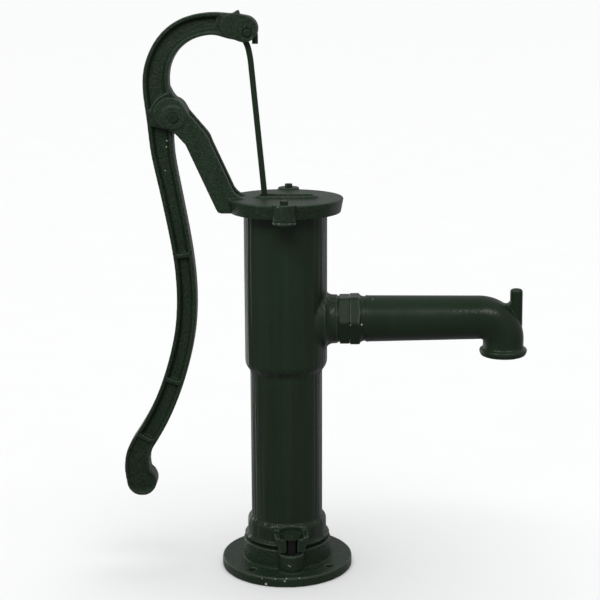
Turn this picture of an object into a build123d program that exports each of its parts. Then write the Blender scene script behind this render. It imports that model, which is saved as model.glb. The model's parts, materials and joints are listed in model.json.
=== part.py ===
from build123d import *
from math import atan2, cos, degrees, hypot, radians, sin
import os

os.makedirs("parts", exist_ok=True)

# Foot: base flange, drum and clamp lugs. The foot is turned a little on the barrel axis.
BASE_R = 78.0
BASE_T = 11.4
BASE_HOLE_R = 4.5
BASE_PCD = 129.0
FOOT_TURN = 7.5
DRUM_R = 52.8
DRUM_TOP = 34.5
DRUM_WALL = 7.0
DRUM_DRAFT = 0.9
RIM_ROUND = 2.2
SPOKE_W = 6.0
DECK_T = 8.5
INLET_R = 19.5
INLET_DEPTH = 20.0
INLET_BOSS_R = 27.0
SEAT_R = 16.0
LUG_R = 14.8
LUG_AT = 53.5
LUG_TOP = 33.7
LUG_BALL_Z = 17.5
LUG_NECK = 30.0
LUG_FOOT = 8.0

# Clamp bolts, M12 with a 19 mm head, one in front and one behind.
CLAMP_AT = 56.0
CLAMP_SHANK_R = 6.0
CLAMP_AF = 19.0
CLAMP_HEAD_T = 6.4
CLAMP_TURN = 30.0
CLAMP_END_Z = 16.0
EAR_BOTTOM = 35.5
EAR_FLOOR = 52.5
EAR_TOP = 56.4
EAR_FRONT_TOP = 54.6
EAR_REACH = 61.5
EAR_LOW_HALF = 14.5
EAR_HIGH_HALF = 20.4
EAR_POCKET = 27.0
POCKET_IN = 44.4
EAR_SLOT = 12.6

# Barrel
BORE_R = 37.5
LOWER_R = 42.4
UPPER_R = 48.2
CHAMBER_R = 42.2
FLANGE_R = 51.4
FLANGE_Z = 38.5
FLANGE_EDGE = 40.2
BEAD_R = 47.0
BEAD_LOW = 42.8
BEAD_HIGH = 57.6
BEAD_TOP = 63.0
STEP_LOW = 241.0
STEP_HIGH = 254.8
BARREL_TOP = 439.6

# Cap with the forked bracket
CAP_R = 67.1
CAP_LOW_R = 63.9
CAP_TOP = 446.6
CAP_RIM_Z = 430.0
CAP_RIM_T = 5.4
CAP_BOSS_R = 12.6
CAP_BOSS_AT = 68.0
CAP_BOSS_X = 1.3
CAP_BOSS_TOP = 448.6
CAP_BOSS_Z = 429.7
CAP_EAR_T = 4.1
CAP_EAR_R = 13.2
SLOT_X = 1.2
SLOT_HALF = 32.0
SLOT_W = 17.0
LIP_HALF = 36.6
LIP_W = 27.0
LIP_H = 2.6

# Cap bolts, M5, screwed into the barrel's ears
CAP_SHANK_R = 2.5
CAP_AF = 8.0
CAP_HEAD_T = 4.0

# Bracket fork
FORK_IN = 11.4
FORK_OUT = 18.0
CHEEK_X = -129.1
CHEEK_Z = 543.5
CHEEK_R = 18.0
EAR_BOSS_R = 13.4
EAR_BOSS_T = 1.3
FORK_WEB_TOP = 476.0

# Pivot of the handle
PIVOT_X = -125.2
PIVOT_Z = 539.0
PIVOT_R = 6.0
PIVOT_AF = 18.0
PIVOT_HEAD_T = 7.0
WASHER_R = 12.0
WASHER_T = 2.0
BUSH_R = 8.0
RUN = 0.05

# Handle casting
HANDLE_T = 11.0
RIB = 3.6
WEB_T = 5.2
HUB_R = 16.4
HUB_END_R = 28.0
HUB_LINE = (-141.7, 526.5, -14.7)
POCKET_STEPS = [(RIB, 9.7), (RIB + 1.3, 7.6), (RIB + 2.6, WEB_T)]
BULB_X = -173.4
BULB_Z = 104.9
BULB_R = 17.8
BULB_WEB_T = 8.4
CROSS_RIB_W = 5.0

# Web that eases the gooseneck's inner edge into the hub
NECK_WEB = [(-129.6, 572.0), (-126.6, 565.8), (-122.6, 561.0), (-117.0, 556.5), (-112.0, 550.0),
            (-135.0, 548.0)]

# Cross ribs in the handle's pocket: X, Z and lean in degrees
CROSS_RIBS = [(-119.5, 379.5, 8), (-133.4, 229.0, -18), (-165.3, 157.5, -27)]

# Middle line of the handle from the gooseneck to the grip: X, Z and half of its width
HANDLE_LINE = [
    (-50.0, 638.8, 14.0), (-64.0, 640.6, 13.6), (-78.0, 642.7, 12.5), (-94.0, 641.4, 12.6),
    (-111.0, 635.9, 13.0), (-127.5, 624.0, 13.2), (-139.4, 606.0, 13.5), (-145.0, 584.0, 14.4),
    (-144.0, 560.0, 15.0), (-141.6, 535.0, 14.4), (-140.0, 505.0, 13.1), (-133.4, 465.0, 12.0),
    (-124.9, 420.0, 11.6), (-117.2, 370.0, 11.3), (-115.1, 332.0, 11.4), (-117.6, 292.0, 11.6),
    (-126.6, 250.0, 11.9), (-141.2, 207.0, 12.3), (-164.0, 163.0, 12.8), (-176.4, 140.0, 13.8),
    (-178.4, 122.0, 14.8), (-174.5, 106.0, 16.4),
]

# Pin and hooked rod at the gooseneck
PIN_X = -41.1
PIN_Z = 632.2
PIN_R = 4.4
CHEEK_T = 13.0
CHEEK_SLOT = 4.3
SLOT_REACH = 13.4
PIN_HEAD_R = 6.0
PIN_HEAD_T = 2.0
RING_HOLE_R = 5.9
ROD_R = 3.4
ROD_LOW = 22.0
ROD_FOOT_X = -3.2
ROD_FOOT_Z = 232.0

# Rod's end block round the cross pin
BLOCK_R = 9.0
BLOCK_LOW = 9.0
BLOCK_TOP = 24.0
BLOCK_FLATS = 16.0
ROD_NUT_AF = 13.0
ROD_NUT_T = 6.5
HOOK_ANGLE = 31.0

# Piston; its heights count down from the cross pin
CROSS_R = 4.0
CROSS_HALF = 30.0
PISTON_R = 34.1
CUP_R = 37.43
VALVE_R = 19.5
PORT_R = 16.5
SPIGOT_R = 22.0
STEM_R = 4.0
STEM_END = 66.0
HEAD_LOW = 41.0
HEAD_TOP = 31.0
SPIGOT_LOW = 56.0
GUIDE_R = 7.5
GUIDE_LOW = 54.0
GUIDE_TOP = 46.0
GUIDE_PLAY = 0.06
FOLLOWER_R = 33.5
FOLLOWER_LOW = 54.0
CUP_LOW = 45.0
CUP_LIP = 27.0
VALVE_SEAT = 30.7
WINDOW_X = 13.5
WINDOW_Z = 8.6
CHEEK_IN = 22.0
CHEEK_OUT = 27.0
CHEEK_HALF = 18.0
FIT = 0.02

# Spout, in its own frame: X along the pipe, turned up a little from the level
SPOUT_Z = 302.4
SPOUT_RISE = 0.82
BOSS_R = 28.6
BOSS_FACE = 61.2
TAIL_R = 23.5
TAIL_START = 47.0
SEAL_R = 27.3
NUT_START = 62.8
NUT_END = 74.3
NUT_AF = 53.8
COLLAR_START = 74.4
COLLAR_END = 86.4
COLLAR_AF = 55.6
HEX_TURN = 28.1
HEX_EASE = 0.018
NECK_R = 26.1
PIPE_WALL = 4.6
PIPE_START = 97.0
PIPE_R0 = 27.1
PIPE_R1 = 25.4
BEND_X = 227.0
INNER_BEND = 3.0
MOUTH_PIPE_R = 23.6
MOUTH_LOW = -45.2
MOUTH_R = 27.8
PEG_X = 268.2
PEG_R = 7.3
PEG_TOP = 33.2
PEG_WEB = [(254.5, 15.8), (258.5, 15.6), (261.2, 18.6), (264, 18.6), (264, 7), (254.5, 7)]

# Foot valve
FLAP_R = 27.0
FLAP_EDGE = -25.0
LEATHER_T = 4.0
HINGE_X = -25.5
RING_IN = 32.0
RING_OUT = 46.5
WEIGHT_R = 15.0
WEIGHT_T = 8.0
FLAP_GAP = 0.3
PLATE_R = 11.0
PLATE_T = 3.0
SCREW_R = 3.0


def ring(outer, inner, low, high):
    """Round tube about Z between two heights."""
    tube = Cylinder(outer, high - low) - Cylinder(inner, high - low)
    return Pos(0, 0, (low + high) / 2) * tube


def post(radius, low, high, x=0.0, y=0.0):
    """Round bar along Z between two heights."""
    return Pos(x, y, (low + high) / 2) * Cylinder(radius, high - low)


def hex_bar(across, low, high, turn=0.0, ease=0.04):
    """Hexagonal bar along Z, sized across its flats, its corners eased by a share of that size."""
    flat = RegularPolygon(across / 2, 6, major_radius=False, rotation=turn)
    bar = Pos(0, 0, low) * extrude(flat, high - low)
    cone = Pos(0, 0, (low + high) / 2) * Cylinder(across * 0.565, high - low)
    cone = chamfer(cone.edges(), across * ease)
    return bar & cone


def turned(points):
    """Solid of revolution about Z from (radius, height) points."""
    face = Plane.XZ * make_face(Polyline(*points, close=True))
    return revolve(face, Axis.Z)


def slab(sketch, low, high):
    """Sketch drawn in X and Z, thickened along Y from low to high."""
    return extrude(Plane.XZ.offset(-high) * sketch, high - low)


def along_y(shape, x, z):
    """Shape modelled along Z, laid along +Y at a place in X and Z."""
    return Pos(x, 0, z) * Rot(-90, 0, 0) * shape


def front_and_back(make):
    """Two copies a half turn apart, both turned with the foot."""
    return [Rot(0, 0, FOOT_TURN + turn) * make() for turn in (0, 180)]


def ball_lug():
    at = (0, -LUG_AT)
    lug = post(LUG_R, LUG_BALL_Z, LUG_TOP, *at)
    lug += Pos(*at, LUG_BALL_Z) * Sphere(LUG_R)
    neck = Box(2 * LUG_R, LUG_NECK, LUG_TOP - LUG_FOOT)
    lug += Pos(0, LUG_NECK / 2 - LUG_AT, (LUG_TOP + LUG_FOOT) / 2) * neck
    return lug


def make_foot():
    outside = Polyline((INLET_BOSS_R, 0), (BASE_R, 0), (BASE_R, BASE_T), (DRUM_R, BASE_T),
                       (DRUM_R - DRUM_DRAFT, DRUM_TOP), (SEAT_R, DRUM_TOP), (SEAT_R, BASE_T),
                       (INLET_BOSS_R, BASE_T), close=True)
    foot = revolve(Plane.XZ * make_face(outside), Axis.Z)
    foot += post(INLET_BOSS_R, 0, DRUM_TOP - 1)
    for lug in front_and_back(ball_lug):
        foot += lug
    foot &= post(BASE_R, 0, DRUM_TOP)
    rim = foot.edges().filter_by(GeomType.CIRCLE).filter_by(lambda e: abs(e.radius - BASE_R) < 0.01)
    foot = fillet(rim.sort_by(Axis.Z)[-1:], RIM_ROUND)
    hollow = ring(DRUM_R - DRUM_WALL, INLET_BOSS_R, 0, DRUM_TOP - DECK_T)
    for turn in range(4):
        spoke = Pos(DRUM_R / 2 + 10, 0, DRUM_TOP / 2) * Box(30, SPOKE_W, DRUM_TOP + 5)
        hollow -= Rot(0, 0, 45 + 90 * turn) * spoke
    foot -= hollow
    foot -= post(INLET_R, 0, INLET_DEPTH)
    foot -= post(SEAT_R, 0, DRUM_TOP)
    for turn in range(4):
        foot -= Rot(0, 0, FOOT_TURN + 45 + 90 * turn) * post(BASE_HOLE_R, 0, BASE_T, BASE_PCD / 2)
    for turn in (0, 180):
        hole = post(CLAMP_SHANK_R + FIT, CLAMP_END_Z - 1, DRUM_TOP, 0, -CLAMP_AT)
        foot -= Rot(0, 0, FOOT_TURN + turn) * hole
    return foot


def clamp_ear():
    """Slotted ear on the barrel's flange, with the pocket for a bolt head."""
    low, high = EAR_LOW_HALF, EAR_HIGH_HALF
    front = Polyline((-low, EAR_BOTTOM), (low, EAR_BOTTOM), (high, EAR_TOP), (-high, EAR_TOP), close=True)
    ear = slab(make_face(front), -EAR_REACH, 1 - BORE_R)
    edge, inner = EAR_FRONT_TOP, 2.5 - FLANGE_R
    slope = Polyline((-EAR_REACH - 9, edge), (-EAR_REACH, edge), (inner, EAR_TOP + 0.5),
                     (inner, EAR_TOP + 8), (-EAR_REACH - 9, EAR_TOP + 8), close=True)
    ear -= extrude(Plane.YZ * make_face(slope), 30, both=True)
    return ear


def ear_cuts():
    inner, outer = POCKET_IN, EAR_REACH + 12
    pocket = Pos(0, -(inner + outer) / 2, EAR_FLOOR + 10) * Box(EAR_POCKET, outer - inner, 20)
    slot = Pos(0, -CLAMP_AT - 10, EAR_BOTTOM + 5) * Box(EAR_SLOT, 20, 40)
    slot += post(EAR_SLOT / 2, EAR_BOTTOM - 5, EAR_FLOOR + 1, 0, -CLAMP_AT)
    return pocket + slot


def boss_flare():
    """Cast boss for the spout, flared where it meets the barrel; X is its axis."""
    edge = make_face(Curve() + [
        Line((30, 0), (BOSS_FACE, 0)),
        Line((BOSS_FACE, 0), (BOSS_FACE, BOSS_R - 1.2)),
        Line((BOSS_FACE, BOSS_R - 1.2), (BOSS_FACE - 1.2, BOSS_R)),
        Line((BOSS_FACE - 1.2, BOSS_R), (54.5, BOSS_R + 0.2)),
        ThreePointArc((54.5, BOSS_R + 0.2), (49.6, BOSS_R + 2.0), (46.4, BOSS_R + 6.2)),
        Line((46.4, BOSS_R + 6.2), (30, BOSS_R + 6.2)),
        Line((30, BOSS_R + 6.2), (30, 0)),
    ])
    return revolve(edge, Axis.X)


def on_spout(shape):
    """From the spout's own frame to the pump's frame."""
    return Pos(0, 0, SPOUT_Z) * Rot(0, -SPOUT_RISE, 0) * shape


def cap_ear(side):
    low = CAP_BOSS_Z - CAP_EAR_T
    ear = post(CAP_EAR_R, low, CAP_BOSS_Z, CAP_BOSS_X, side * CAP_BOSS_AT)
    ear += Pos(CAP_BOSS_X, side * 56, low + CAP_EAR_T / 2) * Box(2 * CAP_EAR_R, 24, CAP_EAR_T)
    gusset = Polyline((side * 46, low - 11), (side * 46, low + 1), (side * 58, low + 1), close=True)
    ear += extrude(Plane.YZ * make_face(gusset), 3, both=True)
    return ear


def make_barrel():
    body = make_face(Curve() + [
        Polyline((0, FLANGE_Z), (FLANGE_R, FLANGE_Z), (FLANGE_R - 1.0, FLANGE_EDGE), (BEAD_R, BEAD_LOW),
                 (BEAD_R, BEAD_HIGH)),
        ThreePointArc((BEAD_R, BEAD_HIGH), (BEAD_R - 1.2, BEAD_TOP - 2.4), (LOWER_R, BEAD_TOP)),
        Line((LOWER_R, BEAD_TOP), (LOWER_R, STEP_LOW)),
        ThreePointArc((LOWER_R, STEP_LOW), (43.1, 243.2), (44.9, 246.0)),
        ThreePointArc((44.9, 246.0), (47.3, 250.2), (UPPER_R, STEP_HIGH)),
        Line((UPPER_R, STEP_HIGH), (UPPER_R, BARREL_TOP)),
        Line((UPPER_R, BARREL_TOP), (0, BARREL_TOP)),
        Line((0, BARREL_TOP), (0, FLANGE_Z)),
    ])
    barrel = revolve(Plane.XZ * body, Axis.Z)
    barrel += on_spout(boss_flare())
    for ear in front_and_back(clamp_ear):
        barrel += ear
    for cut in front_and_back(ear_cuts):
        barrel -= cut
    for side in (-1, 1):
        barrel += cap_ear(side)
        barrel -= post(CAP_SHANK_R + FIT, 400, CAP_BOSS_Z + 1, CAP_BOSS_X, side * CAP_BOSS_AT)
    bore = turned([(0, FLANGE_Z - 1), (BORE_R, FLANGE_Z - 1), (BORE_R, 246), (CHAMBER_R, 255),
                   (CHAMBER_R, BARREL_TOP + 1), (0, BARREL_TOP + 1)])
    barrel -= bore
    barrel -= post(RING_OUT + 0.6, EAR_BOTTOM - 1, FLANGE_Z)
    barrel -= on_spout(Pos(51, 0, 0) * Rot(0, 90, 0) * Cylinder(TAIL_R + FIT, 42))
    return barrel


def fork_arm():
    """Side outline of one arm of the fork, in X and Z."""
    low = [(-112.0, 508.6), (-78.8, 435.3), (-76.4, 431.2), (-73.0, CAP_RIM_Z), (-48, CAP_RIM_Z)]
    edge = Curve() + [
        Polyline(*low, (-44, CAP_TOP - 2)),
        Line((-44, CAP_TOP - 2), (-44, CAP_TOP)),
        ThreePointArc((-44, CAP_TOP), (-54.0, 450.9), (-61.1, 461.0)),
        Line((-61.1, 461.0), (-84.1, 511.2)),
        ThreePointArc((-84.1, 511.2), (-86.1, 516.6), (-89.2, 521.5)),
        Polyline((-89.2, 521.5), (-109.8, 545.7), (-113.2, 552.0), (PIVOT_X, PIVOT_Z), (-132.5, 526.1),
                 (-122.8, 520.2), low[0]),
    ]
    arm = make_face(edge)
    return arm + Pos(CHEEK_X, CHEEK_Z) * Circle(CHEEK_R)


def make_cap():
    cap = turned([(0, CAP_RIM_Z), (CAP_LOW_R, CAP_RIM_Z), (CAP_R, CAP_TOP), (0, CAP_TOP)])
    top_edge = cap.edges().filter_by(GeomType.CIRCLE).sort_by(Axis.Z)[-1:]
    cap = fillet(top_edge, 1.4)
    cap -= post(CAP_LOW_R - CAP_RIM_T, CAP_RIM_Z - 1, BARREL_TOP)
    arm = fork_arm()
    for side in (-1, 1):
        cap += post(CAP_BOSS_R, CAP_BOSS_Z, CAP_BOSS_TOP, CAP_BOSS_X, side * CAP_BOSS_AT)
        low, high = sorted((side * FORK_IN, side * FORK_OUT))
        plate = slab(arm, low, high)
        cap += plate
        face = FORK_OUT * side
        boss = along_y(Pos(0, 0, face) * Cylinder(EAR_BOSS_R, 2 * EAR_BOSS_T), PIVOT_X, PIVOT_Z)
        cap += boss
    web = Polyline((-96.4, FORK_WEB_TOP), (-78.0, 436.3), (-75.4, 431.6), (-72.0, CAP_RIM_Z),
                   (-58, CAP_RIM_Z), (-58, 441), (-70, 444), (-88.6, FORK_WEB_TOP), close=True)
    cap += slab(make_face(web), -FORK_OUT + 1, FORK_OUT - 1)
    cap -= post(UPPER_R + 0.4, CAP_RIM_Z - 1, BARREL_TOP)
    lip = Pos(SLOT_X, 0, CAP_TOP) * extrude(SlotOverall(2 * LIP_HALF, LIP_W), LIP_H)
    cap += chamfer(lip.edges().group_by(Axis.Z)[-1], 1.2)
    cap -= Pos(SLOT_X, 0, 400) * extrude(SlotOverall(2 * SLOT_HALF, SLOT_W), 60)
    for side in (-1, 1):
        cap -= post(CAP_SHANK_R + FIT, 400, 460, CAP_BOSS_X, side * CAP_BOSS_AT)
    cap -= along_y(Cylinder(PIVOT_R + FIT, 60), PIVOT_X, PIVOT_Z)
    return cap


def handle_edge(side, inset):
    """Points beside the middle line, on one side of it."""
    points = []
    for i, (x, z, half) in enumerate(HANDLE_LINE):
        back = HANDLE_LINE[max(i - 1, 0)]
        ahead = HANDLE_LINE[min(i + 1, len(HANDLE_LINE) - 1)]
        dx, dz = ahead[0] - back[0], ahead[1] - back[1]
        reach = side * (half - inset) / hypot(dx, dz)
        points.append((x - dz * reach, z + dx * reach))
    return points


def handle_band(inset):
    left, right = handle_edge(1, inset), handle_edge(-1, inset)
    return make_face(Curve() + [
        Spline(*left), Line(left[-1], right[-1]), Spline(*right), Line(right[0], left[0]),
    ])


def head_shape(grow=0.0):
    """Rounded end of the gooseneck, round its pin."""
    ends = [((-57.0, 640.3), 14.0), ((-44.6, 637.0), 15.0), ((PIN_X - 0.2, PIN_Z + 0.5), 9.3)]
    circles = [Pos(*at) * Circle(radius + grow) for at, radius in ends]
    return make_hull(Sketch(children=circles).edges())


def cross_rib(x, z, lean):
    return Pos(x, z) * Rot(0, 0, lean) * Rectangle(44, CROSS_RIB_W)


def both_faces(sketch, low, high):
    """The same slab on the front and on the back of the handle."""
    return slab(sketch, low, high) + slab(sketch, -high, -low)


def below_line(x, z, lean):
    """Everything in X and Z under a line through a point, down to 100 mm."""
    return Pos(x, z) * Rot(0, 0, lean) * Pos(0, -50) * Rectangle(120, 100)


def pocket_outline(inset):
    hub = Pos(PIVOT_X, PIVOT_Z)
    grip = Pos(BULB_X, BULB_Z) * Circle(BULB_R - inset)
    keep = hub * Circle(HUB_END_R) - below_line(*HUB_LINE) + hub * Circle(HUB_R)
    pocket = handle_band(inset) + grip - keep - head_shape(1.5)
    for rib in CROSS_RIBS:
        pocket -= cross_rib(*rib)
    return pocket


def handle_pockets():
    """Recess between the ribs in three drafted steps, deep along the lever and shallow in the grip's bulb."""
    grip_side = below_line(*CROSS_RIBS[-1])
    cuts = both_faces(pocket_outline(RIB) & grip_side, BULB_WEB_T, HANDLE_T + 1)
    for inset, floor in POCKET_STEPS:
        cuts += both_faces(pocket_outline(inset) - grip_side, floor, HANDLE_T + 1)
    return cuts


def make_handle():
    hub = Pos(PIVOT_X, PIVOT_Z) * Circle(HUB_R)
    bulb = Pos(BULB_X, BULB_Z) * Circle(BULB_R)
    head = head_shape()
    fillet_web = make_face(Polyline(*NECK_WEB, close=True))
    handle = slab(handle_band(0) + hub + bulb + head + fillet_web, -HANDLE_T, HANDLE_T)
    handle -= handle_pockets()
    handle += both_faces(head, HANDLE_T - 0.5, CHEEK_T)
    stub = Polyline((-60.0, 652.6), (-51.8, 657.8), (-50.2, 657.2), (-49.6, 650.0), close=True)
    handle += slab(make_face(stub), -HANDLE_T + 2, 4)
    pin = Pos(PIN_X, PIN_Z)
    slot = pin * Circle(SLOT_REACH) + pin * Pos(20, SLOT_REACH - 30) * Rectangle(40, 60)
    slot += pin * Pos(0, -20) * Rectangle(2 * SLOT_REACH, 40)
    handle -= slab(slot, -CHEEK_SLOT, CHEEK_SLOT)
    handle -= along_y(Cylinder(PIN_R + FIT, 40), PIN_X, PIN_Z)
    handle -= along_y(Pos(0, 0, -CHEEK_T) * Cylinder(RING_HOLE_R, 5), PIN_X, PIN_Z)
    handle -= along_y(Cylinder(BUSH_R + FIT, 40), PIVOT_X, PIVOT_Z)
    return handle


def leaned(shape):
    """From the rod's own upright frame to its place."""
    lean = degrees(atan2(PIN_X - ROD_FOOT_X, PIN_Z - ROD_FOOT_Z))
    return Pos(ROD_FOOT_X, 0, ROD_FOOT_Z) * Rot(0, lean, 0) * shape


def make_rod():
    """Straight rod with its top end bent round the pin into a hook."""
    eye = PIN_R + RUN + ROD_R
    top = hypot(PIN_X - ROD_FOOT_X, PIN_Z - ROD_FOOT_Z)
    start = (0, ROD_LOW)
    turn = radians(HOOK_ANGLE)
    neck = (0, top - 33.0)
    touch = (-eye * cos(turn), top - eye * sin(turn))
    bend = Spline(neck, (-0.5, top - 23.5), (-1.5, top - 15.9), (-3.7, top - 9.1), touch,
                  tangents=((0, 1), (-sin(turn), cos(turn))))
    over = ThreePointArc(touch, (0, top + eye), (eye, top))
    tail = Spline((eye, top), (eye - 0.3, top - 6.5), (eye - 1.0, top - 12.8), tangents=((0, -1), (-0.1, -1)))
    wire = Plane.XZ * Wire([Line(start, neck), bend, over, tail])
    return leaned(sweep(Pos(0, 0, ROD_LOW) * Circle(ROD_R), path=wire))


def make_rod_end():
    block = post(BLOCK_R, -BLOCK_LOW, BLOCK_TOP)
    block = chamfer(block.edges().filter_by(GeomType.CIRCLE), 1.5)
    block -= post(ROD_R + FIT, 6.0, 30.0)
    block -= Rot(90, 0, 0) * Cylinder(CROSS_R + FIT, 40)
    flats = Box(40, 40, 14) - Box(BLOCK_FLATS, 40, 14)
    return leaned(block - Pos(0, 0, 15) * flats)


def make_cross_pin():
    pin = Rot(90, 0, 0) * Cylinder(CROSS_R, 2 * CROSS_HALF)
    return leaned(chamfer(pin.edges().filter_by(GeomType.CIRCLE), 0.8))


def make_rod_nut():
    nut = hex_bar(ROD_NUT_AF, BLOCK_TOP, BLOCK_TOP + ROD_NUT_T) - post(ROD_R + FIT, 20, 40)
    return leaned(nut)


def make_piston_cage():
    z = ROD_FOOT_Z
    cage = ring(PISTON_R, PORT_R, z - HEAD_LOW, z - HEAD_TOP)
    cage += ring(SPIGOT_R, PORT_R, z - SPIGOT_LOW, z - HEAD_LOW + 1)
    spoke = Pos(11.5, 0, z - (GUIDE_LOW + GUIDE_TOP) / 2) * Box(12, 4, GUIDE_LOW - GUIDE_TOP)
    for turn in range(3):
        cage += Rot(0, 0, 30 + 120 * turn) * spoke
    cage += ring(GUIDE_R, STEM_R + GUIDE_PLAY, z - GUIDE_LOW, z - GUIDE_TOP)
    cheek = Pos(0, z) * Circle(CHEEK_HALF) + Pos(0, z - 16) * Rectangle(2 * CHEEK_HALF, 32)
    cheek -= Pos(0, z) * RectangleRounded(2 * WINDOW_X, 2 * WINDOW_Z, WINDOW_Z - 0.5)
    for side in (-1, 1):
        low, high = sorted((side * CHEEK_IN, side * CHEEK_OUT))
        cage += slab(cheek, low, high) & post(PISTON_R, z - HEAD_LOW + 1, z + 40)
    return cage - post(STEM_R + GUIDE_PLAY, z - SPIGOT_LOW - 4, z - HEAD_LOW + 1)


def make_cup():
    z = ROD_FOOT_Z
    low, lip, seat = z - CUP_LOW, z - CUP_LIP, z - HEAD_LOW
    return turned([(SPIGOT_R + FIT, low), (CUP_R - 2, low), (CUP_R, low + 2), (CUP_R, lip),
                   (PISTON_R + 1.3, lip), (PISTON_R + 0.2, seat), (SPIGOT_R + FIT, seat)])


def make_follower():
    z = ROD_FOOT_Z
    low, high = z - FOLLOWER_LOW, z - CUP_LOW
    follower = turned([(SPIGOT_R + FIT, low), (FOLLOWER_R - 3.5, low), (FOLLOWER_R, low + 4),
                       (FOLLOWER_R, high), (SPIGOT_R + FIT, high)])
    for turn in range(4):
        follower -= Rot(0, 0, 90 * turn) * Pos(FOLLOWER_R - 0.5, 0, low + 3) * Box(6, 5, 8)
    return follower


def make_piston_valve():
    z = ROD_FOOT_Z
    low = z - STEM_END
    seat = z - VALVE_SEAT
    return turned([(0, low), (STEM_R - 1, low), (STEM_R, low + 1), (STEM_R, seat), (VALVE_R, seat),
                   (VALVE_R, seat + 3.7), (7, seat + 6.2), (6, seat + 7.7), (0, seat + 7.7)])


def make_valve_clip():
    low = ROD_FOOT_Z - STEM_END + 2.4
    return ring(STEM_R + 2.4, STEM_R + FIT, low, low + 1.6)


def spout_wall(inset):
    """Threaded tail and tapered pipe as one turned solid, its radii less by the inset."""
    half = [(TAIL_START, 0), (TAIL_START, TAIL_R), (COLLAR_START + 4, TAIL_R),
            (COLLAR_START + 8, COLLAR_AF / 2), (COLLAR_END, COLLAR_AF / 2), (COLLAR_END + 4, NECK_R),
            (COLLAR_END + 6, NECK_R),
            (COLLAR_END + 7.6, PIPE_R0 + 0.3), (PIPE_START, PIPE_R0), (BEND_X, PIPE_R1)]
    points = [(x, max(radius - inset, 0)) for x, radius in half] + [(BEND_X, 0)]
    return revolve(make_face(Polyline(*points, close=True)), Axis.X)


def spout_bend(inset):
    """Quarter bend, narrowing from the pipe to the mouth."""
    circles = []
    for step in range(5):
        turn = radians(22.5 * step)
        radius = PIPE_R1 + (MOUTH_PIPE_R - PIPE_R1) * step / 4
        reach = INNER_BEND + radius
        centre = (BEND_X + reach * sin(turn), 0, reach * cos(turn) - PIPE_R1 - INNER_BEND)
        plane = Plane(centre, x_dir=(0, 1, 0), z_dir=(cos(turn), 0, -sin(turn)))
        circles.append(plane * Circle(radius - inset))
    return loft(circles)


def make_spout():
    top = -PIPE_R1 - INNER_BEND
    mouth_x = BEND_X + INNER_BEND + MOUTH_PIPE_R
    mouth = turned([(0, top + 0.5), (MOUTH_PIPE_R, top + 0.5), (MOUTH_PIPE_R, -34.6), (25.0, -36.6),
                    (MOUTH_R - 0.7, -37.6), (MOUTH_R, -39.2), (MOUTH_R - 0.3, -41.4),
                    (MOUTH_R - 2.2, MOUTH_LOW), (0, MOUTH_LOW)])
    spout = spout_wall(0) + spout_bend(0) + Pos(mouth_x, 0, 0) * mouth
    collar = hex_bar(COLLAR_AF, 0, COLLAR_END - COLLAR_START, HEX_TURN, HEX_EASE)
    spout += Pos(COLLAR_START, 0, 0) * Rot(0, 90, 0) * collar
    peg = post(PEG_R, -14, PEG_TOP, PEG_X)
    peg = fillet(peg.edges().filter_by(GeomType.CIRCLE).sort_by(Axis.Z)[-1:], 3.0)
    spout += peg - Pos(PEG_X, 0, PEG_TOP + 5.2) * Sphere(6.6)
    spout += slab(make_face(Polyline(*PEG_WEB, close=True)), -PEG_R + 2, PEG_R - 2)
    spout -= spout_wall(PIPE_WALL)
    spout -= spout_bend(PIPE_WALL)
    spout -= post(MOUTH_PIPE_R - PIPE_WALL, MOUTH_LOW - 1, top + 0.5, mouth_x)
    return on_spout(spout)


def make_lock_nut():
    nut = hex_bar(NUT_AF, NUT_START, NUT_END, HEX_TURN, HEX_EASE)
    nut -= post(TAIL_R + FIT, NUT_START - 1, NUT_END + 1)
    return on_spout(Rot(0, 90, 0) * nut)


def make_spout_seal():
    return on_spout(Rot(0, 90, 0) * ring(SEAL_R, TAIL_R + FIT, BOSS_FACE, NUT_START))


def make_clamp_bolts():
    def bolt():
        head = hex_bar(CLAMP_AF, EAR_FLOOR, EAR_FLOOR + CLAMP_HEAD_T, CLAMP_TURN)
        body = Pos(0, -CLAMP_AT, 0) * head
        return body + post(CLAMP_SHANK_R, CLAMP_END_Z, EAR_FLOOR + 1, 0, -CLAMP_AT)
    return Compound(children=front_and_back(bolt))


def make_cap_bolts():
    end = CAP_BOSS_Z - CAP_EAR_T + 0.4
    bolt = hex_bar(CAP_AF, CAP_BOSS_TOP, CAP_BOSS_TOP + CAP_HEAD_T) + post(CAP_SHANK_R, end, CAP_BOSS_TOP + 1)
    return Compound(children=[Pos(CAP_BOSS_X, side * CAP_BOSS_AT, 0) * bolt for side in (-1, 1)])


def make_pivot_bolt():
    face = FORK_OUT + EAR_BOSS_T
    shank = post(PIVOT_R, -face - 1.8, face + WASHER_T + 1)
    shank = chamfer(shank.edges().filter_by(GeomType.CIRCLE).sort_by(Axis.Z)[:1], 0.9)
    shank -= post(1.6, -face - 3, -face - 0.6)
    shank += hex_bar(PIVOT_AF, face + WASHER_T, face + WASHER_T + PIVOT_HEAD_T)
    return along_y(shank, PIVOT_X, PIVOT_Z)


def make_pivot_washer():
    face = FORK_OUT + EAR_BOSS_T
    return along_y(ring(WASHER_R, PIVOT_R + FIT, face, face + WASHER_T), PIVOT_X, PIVOT_Z)


def make_pivot_bush():
    return along_y(ring(BUSH_R, PIVOT_R + RUN, -HANDLE_T, HANDLE_T), PIVOT_X, PIVOT_Z)


def make_rod_pin():
    pin = post(PIN_R, -CHEEK_T - 0.4, CHEEK_T + 1)
    pin = fillet(pin.edges().filter_by(GeomType.CIRCLE).sort_by(Axis.Z)[:1], 1.4)
    pin += post(PIN_HEAD_R, CHEEK_T, CHEEK_T + PIN_HEAD_T)
    return along_y(pin, PIN_X, PIN_Z)


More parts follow.
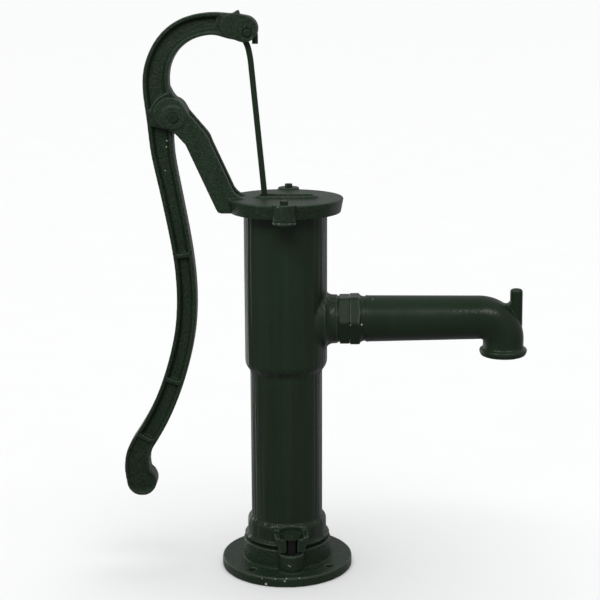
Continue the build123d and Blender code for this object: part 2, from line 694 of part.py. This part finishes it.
def make_pin_ring():
    return along_y(ring(RING_HOLE_R - 0.5, PIN_R + FIT, -CHEEK_T + 1.1, -CHEEK_T + 2.5), PIN_X, PIN_Z)


def make_gasket():
    disc = ring(RING_OUT, RING_IN, DRUM_TOP, FLANGE_Z)
    tongue = Pos(-32.0, 0, (DRUM_TOP + FLANGE_Z) / 2) * Box(10.6, 18, FLANGE_Z - DRUM_TOP)
    return disc + tongue


def make_flap():
    low = DRUM_TOP + FLAP_GAP
    disc = post(FLAP_R, low, low + LEATHER_T - FLAP_GAP)
    disc -= Pos(FLAP_EDGE - 10, 0, low) * Box(20, 60, 20)
    return disc - post(SCREW_R + FIT, low - 1, low + LEATHER_T + 1)


def make_flap_weight():
    low = DRUM_TOP + LEATHER_T
    hole = SCREW_R + FIT
    return turned([(hole, low), (WEIGHT_R, low), (WEIGHT_R, low + 4), (WEIGHT_R - 4, low + WEIGHT_T),
                   (hole, low + WEIGHT_T)])


def make_flap_plate():
    high = DRUM_TOP + FLAP_GAP
    return ring(PLATE_R, SCREW_R + FIT, high - PLATE_T, high)


def make_flap_screw():
    low = DRUM_TOP + FLAP_GAP - PLATE_T
    high = DRUM_TOP + LEATHER_T + WEIGHT_T
    shank = post(SCREW_R, low - 0.5, high + 1)
    return shank + hex_bar(10.0, high, high + 3.5) + post(5.0, low - 2.5, low)


PARTS = {
    "pump_foot": make_foot,
    "foot_gasket": make_gasket,
    "flap_leather": make_flap,
    "flap_weight": make_flap_weight,
    "flap_plate": make_flap_plate,
    "flap_screw": make_flap_screw,
    "clamp_bolts": make_clamp_bolts,
    "barrel": make_barrel,
    "cap_bracket": make_cap,
    "cap_bolts": make_cap_bolts,
    "spout": make_spout,
    "spout_lock_nut": make_lock_nut,
    "spout_seal": make_spout_seal,
    "pivot_bolt": make_pivot_bolt,
    "pivot_washer": make_pivot_washer,
    "pivot_bush": make_pivot_bush,
    "handle": make_handle,
    "rod_pin": make_rod_pin,
    "rod_pin_ring": make_pin_ring,
    "piston_rod": make_rod,
    "rod_end": make_rod_end,
    "rod_nut": make_rod_nut,
    "cross_pin": make_cross_pin,
    "piston_cage": make_piston_cage,
    "piston_cup": make_cup,
    "piston_follower": make_follower,
    "piston_valve": make_piston_valve,
    "valve_clip": make_valve_clip,
}

for node, make in PARTS.items():
    part = make()
    part.label = node
    export_step(part, f"parts/{node}.step")
    print(node, len(part.solids()), round(part.volume))
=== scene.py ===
import json
from math import cos, radians, sin

import bmesh
import bpy
import numpy as np
from mathutils import Euler, Matrix, Vector
from mathutils.bvhtree import BVHTree
from mathutils.kdtree import KDTree


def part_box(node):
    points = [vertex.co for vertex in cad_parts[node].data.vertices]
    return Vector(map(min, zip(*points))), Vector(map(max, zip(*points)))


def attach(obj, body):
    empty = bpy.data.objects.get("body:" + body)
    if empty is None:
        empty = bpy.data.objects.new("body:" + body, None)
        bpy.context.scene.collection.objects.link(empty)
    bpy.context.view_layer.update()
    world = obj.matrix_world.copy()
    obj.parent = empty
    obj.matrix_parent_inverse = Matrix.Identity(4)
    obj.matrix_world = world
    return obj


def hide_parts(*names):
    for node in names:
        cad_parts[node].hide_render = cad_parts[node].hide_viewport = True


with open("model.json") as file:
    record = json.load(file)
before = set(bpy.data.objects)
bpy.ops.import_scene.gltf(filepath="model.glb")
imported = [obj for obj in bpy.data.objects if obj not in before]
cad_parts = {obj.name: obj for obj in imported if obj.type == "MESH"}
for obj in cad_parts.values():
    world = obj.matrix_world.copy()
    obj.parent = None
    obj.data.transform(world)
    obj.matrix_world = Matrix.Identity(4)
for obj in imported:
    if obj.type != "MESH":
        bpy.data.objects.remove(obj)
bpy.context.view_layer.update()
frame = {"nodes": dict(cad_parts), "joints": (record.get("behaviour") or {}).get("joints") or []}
print("frame loaded:", len(frame["nodes"]), "nodes")


class Wire:
    # One output of a shader node; arithmetic on it adds Math nodes.
    def __init__(self, bench, socket):
        self.bench = bench
        self.socket = socket

    def math(self, operation, first, second):
        return self.bench.node("ShaderNodeMath", {"operation": operation}, {0: first, 1: second})

    def __add__(self, other):
        return self.math("ADD", self, other)

    __radd__ = __add__

    def __mul__(self, other):
        return self.math("MULTIPLY", self, other)

    __rmul__ = __mul__

    def __sub__(self, other):
        return self.math("SUBTRACT", self, other)

    def __rsub__(self, other):
        return self.math("SUBTRACT", other, self)


class Bench:
    # A material, or the sky, under work. node() makes any node: its type, its settings, then its sockets.
    def __init__(self, holder, shader="Principled BSDF", place="Object"):
        holder.use_nodes = True
        self.holder = holder
        self.tree = holder.node_tree
        self.shader = self.tree.nodes[shader]
        self.place = self.node("ShaderNodeTexCoord", out=place)

    def node(self, kind, settings=None, sockets=None, out=0):
        made = self.tree.nodes.new(kind)
        for key, value in (settings or {}).items():
            setattr(made, key, value)
        for key, value in (sockets or {}).items():
            self.feed(made.inputs[key], value)
        return Wire(self, made.outputs[out])

    def feed(self, socket, value):
        if isinstance(value, Wire):
            self.tree.links.new(value.socket, socket)
        elif isinstance(value, (tuple, list)) and len(socket.default_value) == 4 and len(value) == 3:
            socket.default_value = tuple(value) + (1,)
        else:
            socket.default_value = value

    def finish(self, **sockets):
        for key, value in sockets.items():
            self.feed(self.shader.inputs[key.replace("_", " ")], value)
        return self.holder

    def noise(self, scale, detail=2.0, rough=0.5, stretch=None):
        place = self.place
        if stretch:
            place = self.node("ShaderNodeMapping", None, {"Vector": place, "Scale": stretch})
        return self.node("ShaderNodeTexNoise", None, {
            "Vector": place, "Scale": scale, "Detail": detail, "Roughness": rough}, "Fac")

    def ramp(self, value, low, high, bottom=0.0, top=1.0, kind="LINEAR"):
        return self.node("ShaderNodeMapRange", {"clamp": True, "interpolation_type": kind}, {
            "Value": value, "From Min": low, "From Max": high, "To Min": bottom, "To Max": top})

    def blend(self, amount, first, second):
        return self.node("ShaderNodeMix", {"data_type": "RGBA"}, {0: amount, 6: first, 7: second}, 2)

    def larger(self, first, second):
        return self.node("ShaderNodeMath", {"operation": "MAXIMUM"}, {0: first, 1: second})

    def distance(self, at):
        return self.node("ShaderNodeVectorMath", {"operation": "DISTANCE"}, {0: self.place, 1: at}, "Value")

    def axis(self, letter):
        return self.node("ShaderNodeSeparateXYZ", None, {0: self.place}, letter)

    def attribute(self, name):
        return self.node("ShaderNodeAttribute", {"attribute_name": name}, out="Fac")

    def bump(self, height, depth, under=None):
        sockets = {"Height": height, "Distance": depth}
        if under:
            sockets["Normal"] = under
        return self.node("ShaderNodeBump", None, sockets)


# Green enamel over cast iron: colours and gloss
enamelLook = {
    "green": (0.0158, 0.0340, 0.0148),
    "deep": (0.0118, 0.0265, 0.0110),
    # faded: lighter colour of faded paint in the grain, and of painted reflection streaks
    "fadedAndSheen": (0.0260, 0.0430, 0.0280),
    # rubbed: the edges' lighter colour, worn paint and also a painted highlight
    "rubbedAndSheen": (0.062, 0.092, 0.064),
    "chip": (0.62, 0.63, 0.58),
    "rust": (0.060, 0.026, 0.012),
    "iron": (0.0050, 0.0052, 0.0070),
    "ironRust": (0.0110, 0.0092, 0.0085),
    "gloss": 0.24,
    "dull": 0.40,
    "specular": 0.40,
}

# Its patterns: scale, detail, roughness and how they are stretched
enamelNoise = {
    "cloud": (14.0, 3.0, 0.55),
    "streak": (26.0, 3.0, 0.6, (1.0, 1.0, 0.12)),
    "orange": (230.0, 2.0, 0.45),
    "runs": (55.0, 2.0, 0.5, (1.0, 1.0, 0.30)),
    "ragged": (900.0, 3.0, 0.7),
    "flutes": (95.0, 2.0, 0.55, (1.0, 1.0, 0.022)),
    "pitsPerGrain": 2.3,
}

# Where each pattern starts and is full, and for some the two values that it then runs between
enamelRamp = {
    "edge": (0.40, 0.95),
    # nook: painted shade in corners and creases
    "nookShade": (-0.75, -0.15, 1.0, 0.0),
    "cloud": (0.30, 0.72),
    "lightGrain": (0.51, 0.61),
    "darkGrain": (0.38, 0.47, 1.0, 0.0),
    "streak": (0.46, 0.78),
    "rustCloud": (0.35, 0.60),
    "rust": (0.57, 0.60),
    "flutes": (0.45, 0.72),
    "iron": (0.35, 0.65),
    "rough": (0.3, 0.7),
}

# How strongly each pattern shows in the colour
enamelShare = {
    # nook is painted shade, edge is wear with a painted highlight, streak and flutes are painted reflection
    # streaks
    "edgeRagged": 0.35, "nookCloud": 0.3, "lightGrain": 0.85, "darkGrain": 0.80, "grainShade": 0.5,
    "streak": 0.45, "nookShade": 0.45, "edge": 0.60, "rust": 0.6, "flutes": 0.50,
}

# How strongly it shows in the roughness
enamelRough = {"cloud": 0.6, "streak": 0.4, "nookShade": 0.14, "edge": 0.05, "chip": 0.25, "iron": 0.2}

# Depths of the relief in metres; pits is a share of the grain
enamelDepth = {"grain": 0.0011, "pits": 0.35, "peel": 0.0006, "flutes": 0.0030, "chip": 0.00025}

# A chip's ragged rim and its full core, as shares of its radius, and how a larger one is whiter
chipLook = {"ragged": 0.9, "core": 0.75, "whitePerMetre": 650}


def enamel(name, sand, sandScale, peel, sag, wearAndSheen, ribbed=0.0, paintedLightTint=1.0, chips=(), bareUnder=None):
    look, ramps, share, roughShare, depth = enamelLook, enamelRamp, enamelShare, enamelRough, enamelDepth
    bench = Bench(bpy.data.materials.new(name))
    relief = bench.attribute("relief")
    cloud, streak, orange, runs, ragged = (
        bench.noise(*enamelNoise[key]) for key in ("cloud", "streak", "orange", "runs", "ragged"))
    grain = bench.noise(sandScale, 3.0, 0.6)
    pits = bench.noise(sandScale * enamelNoise["pitsPerGrain"], 2.0, 0.5)
    # tint: painted light, a piece's enamel lightened to make up for the light that piece gets
    deep, green, fadedAndSheen = ([part * paintedLightTint for part in look[key]] for key in ("deep", "green", "fadedAndSheen"))
    shade = [part * share["grainShade"] for part in deep]

    # edge: the convex edges, lightened as worn paint and as a painted highlight
    edge = bench.ramp(relief + (ragged - 0.5) * share["edgeRagged"], *ramps["edge"]) * wearAndSheen
    # nook: the concave corners and creases, darkened with the deep colour as painted shade
    nookShade = bench.ramp(relief + (cloud - 0.5) * share["nookCloud"], *ramps["nookShade"])
    base = bench.blend(bench.ramp(cloud, *ramps["cloud"]), deep, green)
    base = bench.blend(bench.ramp(grain, *ramps["lightGrain"]) * (sand * share["lightGrain"]), base, fadedAndSheen)
    base = bench.blend(bench.ramp(grain, *ramps["darkGrain"]) * (sand * share["darkGrain"]), base, shade)
    # painted reflection: lighter vertical streaks
    base = bench.blend(bench.ramp(streak, *ramps["streak"]) * share["streak"], base, fadedAndSheen)
    # painted shade: corners and creases darkened
    base = bench.blend(nookShade * share["nookShade"], base, deep)
    # painted highlight and wear: the edges lightened with the rubbed colour
    base = bench.blend(edge * share["edge"], base, look["rubbedAndSheen"])
    speck = bench.ramp(ragged * bench.ramp(cloud, *ramps["rustCloud"]), *ramps["rust"])
    base = bench.blend(speck * edge * share["rust"], base, look["rust"])

    rough = bench.ramp(cloud * roughShare["cloud"] + streak * roughShare["streak"],
                       *ramps["rough"], look["gloss"], look["dull"])
    rough = rough + nookShade * roughShare["nookShade"] - edge * roughShare["edge"]

    normal = bench.bump(grain * sand + pits * (sand * depth["pits"]), depth["grain"])
    normal = bench.bump(orange * peel + runs * sag, depth["peel"], under=normal)
    if ribbed:
        # long shallow flutes that the ladle and the file leave down a tube; their lighter colour is a painted
        # reflection streak
        flutes = bench.noise(*enamelNoise["flutes"])
        normal = bench.bump(flutes * ribbed, depth["flutes"], under=normal)
        base = bench.blend(bench.ramp(flutes, *ramps["flutes"]) * share["flutes"], base, fadedAndSheen)

    chipped = None
    for x, y, z, radius in chips:
        away = bench.distance((x, y, z)) + (ragged - 0.5) * (radius * chipLook["ragged"])
        white = min(1.0, radius * chipLook["whitePerMetre"])
        mark = bench.ramp(away, radius * chipLook["core"], radius, white, 0.0)
        chipped = bench.larger(chipped, mark) if chipped else mark
    if chipped:
        base = bench.blend(chipped, base, look["chip"])
        rough = rough + chipped * roughShare["chip"]
        normal = bench.bump(1 - chipped, depth["chip"], under=normal)

    if bareUnder:
        # bare iron where the brush doesn't reach
        bare = bench.ramp(bench.axis("Z"), *bareUnder, 1.0, 0.0)
        iron = bench.blend(bench.ramp(grain, *ramps["iron"]), look["iron"], look["ironRust"])
        base = bench.blend(bare, base, iron)
        rough = rough + bare * roughShare["iron"]

    return bench.finish(Base_Color=base, Roughness=rough, Normal=normal, Specular_IOR_Level=look["specular"])


# Unpainted metals inside the pump; turned is the lathe lines' share of the relief
metalLook = {
    "platedSteel": {"bright": (0.42, 0.43, 0.43), "dark": (0.20, 0.20, 0.20), "rough": 0.34,
                    "grain": 900.0, "depth": 0.00012, "metallic": 1.0, "turned": 0.0},
    "bareIron": {"bright": (0.095, 0.088, 0.082), "dark": (0.030, 0.024, 0.020), "rough": 0.55,
                 "grain": 600.0, "depth": 0.0004, "metallic": 0.6, "turned": 0.0},
    "turnedBrass": {"bright": (0.52, 0.36, 0.13), "dark": (0.26, 0.17, 0.06), "rough": 0.30,
                    "grain": 900.0, "depth": 0.00012, "metallic": 1.0, "turned": 0.6},
}


def metal(name):
    look = metalLook[name]
    bench = Bench(bpy.data.materials.new(name))
    cloud = bench.noise(60.0, 4.0, 0.6)
    grain = bench.noise(look["grain"], 3.0, 0.6)
    height = grain
    if look["turned"]:
        lines = bench.node("ShaderNodeTexWave", {"wave_type": "BANDS", "bands_direction": "Z"}, {
            "Vector": bench.place, "Scale": look["grain"], "Distortion": 0.6, "Detail": 1.0}, "Fac")
        height = grain * (1 - look["turned"]) + lines * look["turned"]
    rough = bench.ramp(cloud * 0.5 + grain * 0.5, 0.3, 0.7, look["rough"] - 0.08, look["rough"] + 0.12)
    return bench.finish(Base_Color=bench.blend(bench.ramp(cloud, 0.35, 0.7), look["dark"], look["bright"]),
                        Roughness=rough, Metallic=look["metallic"], Normal=bench.bump(height, look["depth"]))


leatherLook = {"dark": (0.045, 0.022, 0.010), "light": (0.115, 0.062, 0.030), "grain": 900.0,
               "depth": 0.00025, "smooth": 0.45, "rough": 0.7}


def leather(name):
    look = leatherLook
    bench = Bench(bpy.data.materials.new(name))
    grain = bench.node("ShaderNodeTexVoronoi", {"feature": "F1"},
                       {"Vector": bench.place, "Scale": look["grain"]}, "Distance")
    cloud = bench.noise(70.0, 4.0, 0.6)
    return bench.finish(Base_Color=bench.blend(bench.ramp(cloud, 0.3, 0.7), look["dark"], look["light"]),
                        Roughness=bench.ramp(cloud, 0.3, 0.7, look["smooth"], look["rough"]),
                        Normal=bench.bump(grain, look["depth"]))


# Castings are merged copies of the CAD nodes, with their edges and corners rounded as sand castings are.
castingPlan = {
    "weld": 0.00001,          # points closer than this become one
    "quickCoarse": 1.8,
    "smoothing": 3,
    "triangles": 170000,
    "reliefReach": 6,         # rounds of smoothing that an edge or a corner is measured against
    "reliefPull": 0.6,        # how far each round goes
    "reliefFull": 0.00030,    # metres of relief that count as 1
    "reliefLimit": 1.5,
}


def mergedCopy(nodeName):
    bm = bmesh.new()
    bm.from_mesh(frame["nodes"][nodeName].data)
    bmesh.ops.remove_doubles(bm, verts=bm.verts, dist=castingPlan["weld"])
    return bm


def newObject(name, bm):
    mesh = bpy.data.meshes.new(name)
    bm.to_mesh(mesh)
    bm.free()
    made = bpy.data.objects.new(name, mesh)
    bpy.context.scene.collection.objects.link(made)
    return made


def applied(piece):
    bpy.context.view_layer.update()
    ready = piece.evaluated_get(bpy.context.evaluated_depsgraph_get())
    mesh = bpy.data.meshes.new_from_object(ready)
    piece.modifiers.clear()
    piece.data = mesh
    return mesh


def readVectors(items, key):
    values = np.empty(len(items) * 3)
    items.foreach_get(key, values)
    return values.reshape(-1, 3)


def reliefOf(mesh):
    # Height of each point over its smoothed surroundings: positive on edges, negative in corners.
    count = len(mesh.vertices)
    points = readVectors(mesh.vertices, "co")
    normals = readVectors(mesh.vertices, "normal")
    ends = np.empty(len(mesh.edges) * 2, np.int64)
    mesh.edges.foreach_get("vertices", ends)
    ends = ends.reshape(-1, 2)
    joined = np.bincount(ends.ravel(), minlength=count)
    pull = castingPlan["reliefPull"]
    smooth = points.copy()
    for _ in range(castingPlan["reliefReach"]):
        total = np.empty_like(smooth)
        for axis in range(3):
            total[:, axis] = (np.bincount(ends[:, 0], smooth[ends[:, 1], axis], count)
                              + np.bincount(ends[:, 1], smooth[ends[:, 0], axis], count))
        smooth = (1 - pull) * smooth + pull * total / np.maximum(joined, 1)[:, None]
    return points, ((points - smooth) * normals).sum(1)


def giveRelief(mesh, points, relief):
    # The dense surface's relief goes on to the thinned one, as an attribute that the paint reads.
    full, limit = castingPlan["reliefFull"], castingPlan["reliefLimit"]
    tree = KDTree(len(points))
    for index, point in enumerate(points):
        tree.insert(point, index)
    tree.balance()
    values = [relief[tree.find(v.co)[1]] / full for v in mesh.vertices]
    held = mesh.attributes.new("relief", "FLOAT", "POINT")
    held.data.foreach_set("value", np.clip(values, -limit, limit).astype(np.float32))


def casting(name, nodeName, body, paint, voxel, details=None):
    bm = mergedCopy(nodeName)
    if details:
        details(bm)
    piece = newObject(name, bm)
    skin = piece.modifiers.new("skin", "REMESH")
    skin.mode = "VOXEL"
    skin.voxel_size = voxel * 1.0
    skin.use_smooth_shade = True
    rounding = piece.modifiers.new("rounding", "SMOOTH")
    rounding.factor = 0.5
    rounding.iterations = castingPlan["smoothing"]
    dense = applied(piece)
    points, relief = reliefOf(dense)
    triangles = sum(len(p.vertices) - 2 for p in dense.polygons)
    if triangles > castingPlan["triangles"]:
        thin = piece.modifiers.new("thin", "DECIMATE")
        thin.ratio = castingPlan["triangles"] / triangles
        thin.use_collapse_triangulate = False
        applied(piece)
    giveRelief(piece.data, points, relief)
    for polygon in piece.data.polygons:
        polygon.use_smooth = True
    piece.data.materials.clear()
    piece.data.materials.append(paint)
    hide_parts(nodeName)
    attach(piece, body)
    print("cast", name, len(piece.data.polygons), "faces")


# Raised cast lines on the handle's two side faces, at plus and minus face along Y; angles in degrees
handleLook = {
    "face": 0.011,
    "hub": {"radius": 0.0271, "thick": 0.0009, "start": 98, "sweep": 50},
    "head": {"centre": (-0.092, 0.6392), "radius": 0.0255, "thick": 0.0011, "start": -26, "sweep": 54,
             "lines": 3, "apart": 0.0034, "sink": 0.0012},
    "sides": 10,
    "degreesPerStep": 5,
}


def addBead(bm, centre, y, radius, start, sweep, thick):
    # A raised cast line: a small round section spun round an axis along Y.
    x, z = centre
    away = Vector((cos(radians(start)), 0, sin(radians(start)))) * radius
    side, along = away.normalized(), Vector((0, 1, 0))
    across = Matrix((side, along, side.cross(along))).transposed().to_4x4()
    ring = bmesh.ops.create_circle(bm, cap_ends=True, radius=thick, segments=handleLook["sides"],
                                   matrix=Matrix.Translation(Vector((x, y, z)) + away) @ across)
    faces = list({face for vert in ring["verts"] for face in vert.link_faces})
    bmesh.ops.spin(bm, geom=faces + list({e for f in faces for e in f.edges}) + ring["verts"],
                   cent=(x, y, z), axis=(0, -1, 0), dvec=(0, 0, 0), angle=radians(sweep),
                   space=Matrix.Identity(4), steps=int(sweep / handleLook["degreesPerStep"]),
                   use_merge=False, use_normal_flip=False, use_duplicate=False)


def handleDetails(bm):
    hub, head = handleLook["hub"], handleLook["head"]
    pivot = next(joint["pos_m"] for joint in frame["joints"] if joint["name"] == "handle_swing")
    for side in (-1, 1):
        y = side * handleLook["face"]
        addBead(bm, (pivot[0], pivot[2]), y, hub["radius"], hub["start"], hub["sweep"], hub["thick"])
        for line in range(head["lines"]):
            addBead(bm, head["centre"], y - side * head["sink"] * line, head["radius"] - head["apart"] * line,
                    head["start"], head["sweep"], head["thick"])


# Where the paint is knocked off, seen from the front: millimetres across, up, and the chip's radius
chipPlaces = {
    "handle": [(-134, 512, 1.3), (-135, 505, 1.0), (-137, 478, 0.8)],
    "barrel": [(-4, 429, 0.8), (8, 429, 0.8), (-11, 429, 0.7), (61, 314, 0.9)],
    "cap_bracket": [(-5, 447, 0.8)],
    "pump_foot": [(-22, 3, 1.7), (-11, 10, 0.9), (0, 8, 1.2), (2, 11, 1.0), (17, 11, 0.9), (-27, 9, 0.8),
                  (4, 23, 0.9), (6, 22, 1.0)],
    "spout": [(88, 303, 1.4), (75, 303, 0.9), (101, 329, 0.9)],
}


def chipsOn(nodeName):
    # Each chip lies where a line from the front first meets the casting.
    bm = mergedCopy(nodeName)
    surface = BVHTree.FromBMesh(bm)
    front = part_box(nodeName)[0][1] - 0.01
    chips = []
    for across, up, radius in chipPlaces[nodeName]:
        start = Vector((across / 1000, front, up / 1000))
        spot = surface.ray_cast(start, Vector((0, 1, 0)))[0] or surface.find_nearest(start)[0]
        chips.append((*spot, radius / 1000))
    bm.free()
    return chips


# Each piece's enamel: sand is its speckle, peel and sag the paint's own surface, ribbed the flutes; wear
# scales the lighter edges, worn paint and a painted highlight, and tint lightens a piece's enamel as painted
# light
coats = {
    "handle": ("enamelHandle", {"sand": 1.0, "sandScale": 400.0, "peel": 0.35, "sag": 0.5, "wearAndSheen": 1.0,
                                "paintedLightTint": 1.02, "chips": chipsOn("handle")}),
    "barrel": ("enamelBarrel", {"sand": 0.16, "sandScale": 420.0, "peel": 0.35, "sag": 0.7, "wearAndSheen": 0.8,
                                "ribbed": 1.0, "chips": chipsOn("barrel")}),
    "cap": ("enamelCap", {"sand": 0.9, "sandScale": 400.0, "peel": 0.35, "sag": 0.5, "wearAndSheen": 0.9,
                          "paintedLightTint": 1.20, "chips": chipsOn("cap_bracket")}),
    "foot": ("enamelFoot", {"sand": 0.8, "sandScale": 400.0, "peel": 0.4, "sag": 0.6, "wearAndSheen": 0.9,
                            "paintedLightTint": 1.1, "chips": chipsOn("pump_foot")}),
    "spout": ("enamelSpout", {"sand": 0.14, "sandScale": 420.0, "peel": 0.34, "sag": 0.8, "wearAndSheen": 0.8,
                              "chips": chipsOn("spout")}),
    "small": ("enamelSmall", {"sand": 0.20, "sandScale": 700.0, "peel": 0.5, "sag": 0.3, "wearAndSheen": 0.0}),
    "clamp": ("enamelClamp", {"sand": 0.20, "sandScale": 700.0, "peel": 0.5, "sag": 0.3, "wearAndSheen": 0.0,
                              "bareUnder": (0.0519, 0.0523)}),
}
paints = {key: enamel(name, **coat) for key, (name, coat) in coats.items()}
paints.update({name: metal(name) for name in metalLook})
paints["leather"] = leather("oiledLeather")
print("materials ready")

nodePaints = {
    "clamp": ["clamp_bolts"],
    "small": ["cap_bolts", "spout_lock_nut", "pivot_bolt", "pivot_washer", "rod_pin",
              "rod_pin_ring", "piston_rod", "spout_seal", "foot_gasket"],
    "platedSteel": ["rod_end", "rod_nut", "cross_pin"],
    "bareIron": ["flap_weight", "flap_plate", "piston_cage", "piston_follower"],
    "turnedBrass": ["flap_screw", "pivot_bush", "piston_valve", "valve_clip"],
    "leather": ["flap_leather", "piston_cup"],
}
for paintName, nodeNames in nodePaints.items():
    for nodeName in nodeNames:
        node = frame["nodes"][nodeName]
        node.data.materials.clear()
        node.data.materials.append(paints[paintName])

# The size of the skin's voxels, in metres, comes after the paint
casting("handleCasting", "handle", "lever", paints["handle"], 0.0010, handleDetails)
casting("barrelCasting", "barrel", "pump_body", paints["barrel"], 0.00115)
casting("capCasting", "cap_bracket", "pump_body", paints["cap"], 0.0009)
casting("footCasting", "pump_foot", "pump_body", paints["foot"], 0.0011)
casting("spoutCasting", "spout", "pump_body", paints["spout"], 0.0009)

# The floor with its own sun, and the sky's light from front to back and from below to above
stageLook = {"floorSize": 60.0, "grey": 0.80, "mottle": 0.01, "floorSun": 3.0, "sunSpread": 70,
             "sky": (0.97, 0.985, 1.0), "front": 0.070, "back": 0.17, "below": 0.09, "above": 0.20}


def buildFloor():
    look = stageLook
    bm = bmesh.new()
    bmesh.ops.create_grid(bm, x_segments=1, y_segments=1, size=look["floorSize"])
    floor = newObject("floor", bm)
    bench = Bench(bpy.data.materials.new("paleFloor"))
    grain = bench.noise(6.0, 3.0, 0.5)
    darker, lighter = ((look["grey"] + change,) * 3 for change in (-look["mottle"], look["mottle"]))
    floor.data.materials.append(bench.finish(Base_Color=bench.blend(grain, darker, lighter), Roughness=0.9))
    # the floor has its own light, and doesn't throw it back on to the object
    floor.visible_diffuse = False
    floor.visible_glossy = False
    floor.visible_shadow = False
    sun = bpy.data.objects.new("floorSun", bpy.data.lights.new("floorSun", "SUN"))
    sun.data.energy = look["floorSun"]
    sun.data.angle = radians(look["sunSpread"])
    bpy.context.scene.collection.objects.link(sun)
    onlyFloor = bpy.data.collections.new("onlyFloor")
    onlyFloor.objects.link(floor)
    sun.light_linking.receiver_collection = onlyFloor
    notFloor = bpy.data.collections.new("notFloor")
    notFloor.objects.link(floor)
    notFloor.collection_objects[0].light_linking.link_state = "EXCLUDE"
    return notFloor


def buildSky():
    # dim in front, brighter behind and at the sides, as a tent of cloth round the object would be
    look = stageLook
    bench = Bench(bpy.data.worlds.new("studio"), "Background", "Generated")
    depth = bench.ramp(bench.axis("Y"), -0.30, 0.80, look["front"], look["back"], "SMOOTHSTEP")
    lift = bench.ramp(bench.axis("Z"), -0.4, 0.6, look["below"], look["above"])
    bpy.context.scene.world = bench.finish(Color=look["sky"], Strength=depth + lift)


# Name, place, width, height, power, the point it is aimed at, and what it gives:
# "soft" gives no highlight, "shine" gives nothing else, "both" gives light and highlight
lampPlan = [
    ("frontSoftbox", (-0.45, -1.50, 1.95), 1.9, 0.9, 32, (0, 0, 0.35), "soft"),
    ("pipeStrip", (1.00, -1.50, 1.95), 0.9, 0.4, 7.0, (0.2, 0, 0.3), "shine"),
    ("keyStrip", (-1.00, -1.20, 1.95), 0.5, 0.5, 8.0, (0, 0, 0.3), "shine"),
    ("leftPanel", (-1.35, 1.75, 0.3), 0.7, 1.8, 4.2, (0, 0, 0.3), "both"),
    ("rightPanel", (1.25, 1.75, 0.3), 0.5, 1.8, 1.2, (0, 0, 0.3), "both"),
]


def buildLamps(lit):
    for name, place, width, height, power, target, use in lampPlan:
        light = bpy.data.lights.new(name, "AREA")
        light.shape = "RECTANGLE"
        light.size = width
        light.size_y = height
        light.energy = power
        lamp = bpy.data.objects.new(name, light)
        lamp.location = place
        lamp.rotation_euler = (Vector(target) - Vector(place)).to_track_quat("-Z", "Y").to_euler()
        lamp.light_linking.receiver_collection = lit
        lamp.visible_glossy = use != "soft"
        lamp.visible_diffuse = use != "shine"
        bpy.context.scene.collection.objects.link(lamp)


# Angles in degrees, lens and sensor in millimetres
cameraPlan = {"place": (0.0655, -1.6317, 0.691), "pitch": 12.62, "heading": 1.72, "roll": -0.2,
              "lens": 86.04, "sensor": 36}


def buildCamera():
    plan = cameraPlan
    lens = bpy.data.cameras.new("camera")
    lens.lens = plan["lens"]
    lens.sensor_width = plan["sensor"]
    camera = bpy.data.objects.new("camera", lens)
    turn = Euler((radians(90 - plan["pitch"]), 0, radians(plan["heading"]))).to_matrix()
    turn = turn @ Matrix.Rotation(radians(plan["roll"]), 3, "Z")
    camera.matrix_world = Matrix.Translation(plan["place"]) @ turn.to_4x4()
    bpy.context.scene.collection.objects.link(camera)
    bpy.context.scene.camera = camera


lit = buildFloor()
buildSky()
buildLamps(lit)
buildCamera()
bpy.context.scene.view_settings.view_transform = "Standard"
print("stage ready")
